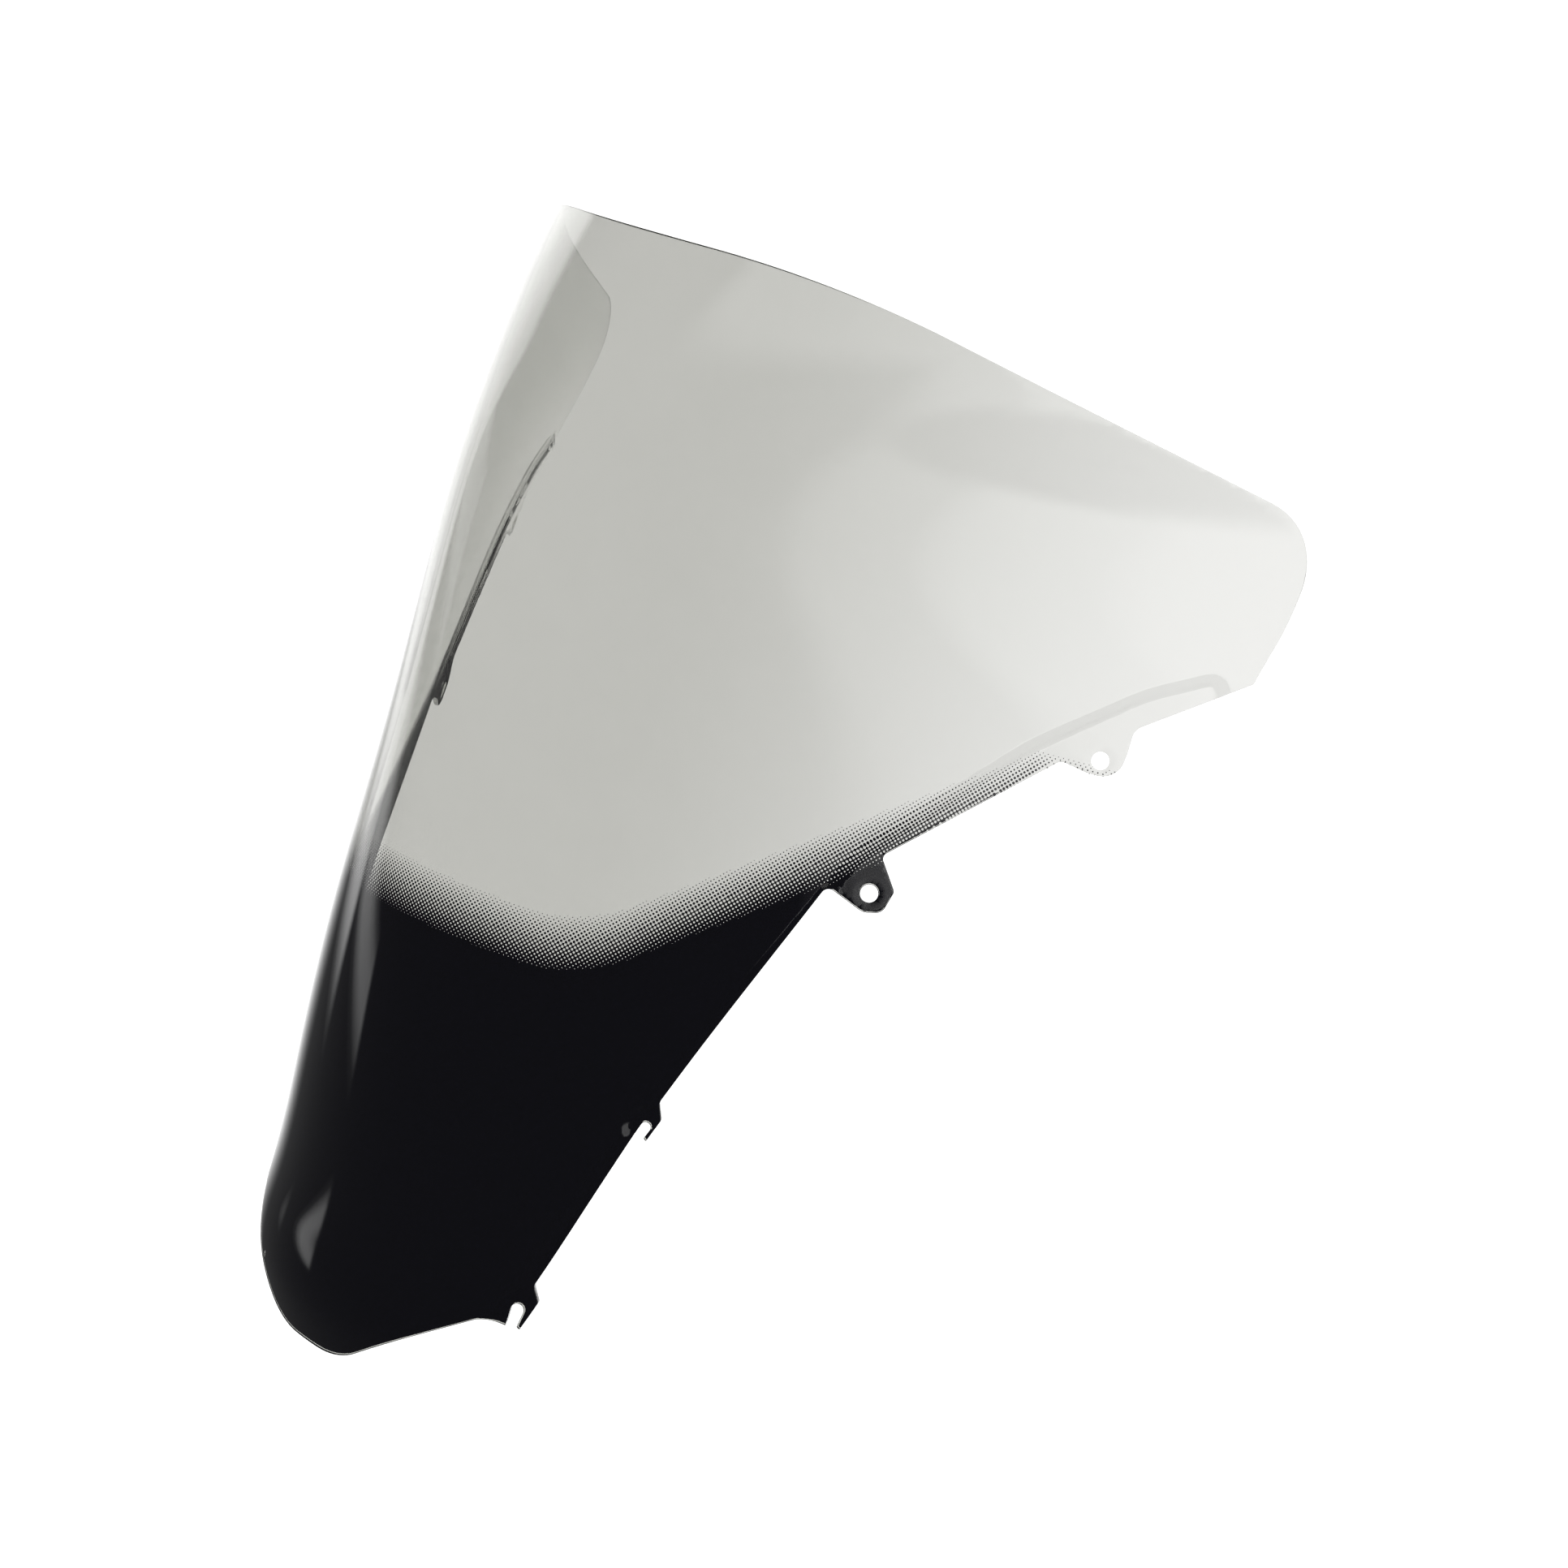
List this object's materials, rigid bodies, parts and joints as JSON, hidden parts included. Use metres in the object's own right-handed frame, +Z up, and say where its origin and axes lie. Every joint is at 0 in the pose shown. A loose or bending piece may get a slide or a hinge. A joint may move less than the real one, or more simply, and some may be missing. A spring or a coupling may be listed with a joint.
{
  "type": "windshield screen",
  "caption": "Curved double-swept motorcycle windshield screen, smoke acrylic, with a black printed lower mask that fades out in dots, tabs with holes and open hooks down each side.",
  "frame": {"origin": "middle of the underside of the part's bounding box: X = 0 on the plane of symmetry, Z = 0 at the lowest point of the nose", "axes": "+X across the screen to the rider's left, -Y ahead of the motorcycle and out of the outer face, +Z up with the screen raked back as it is fitted"},
  "size_m": [0.4802, 0.3408, 0.4564],
  "materials": {
    "smoke_acrylic": "polished clear acrylic with a light smoke tint",
    "black_print": "satin black screen print, seen through the sheet as gloss black"
  },
  "bodies": {
    "root": {"screen_panel": "smoke_acrylic", "printed_mask": "black_print"}
  },
  "joints": []
}
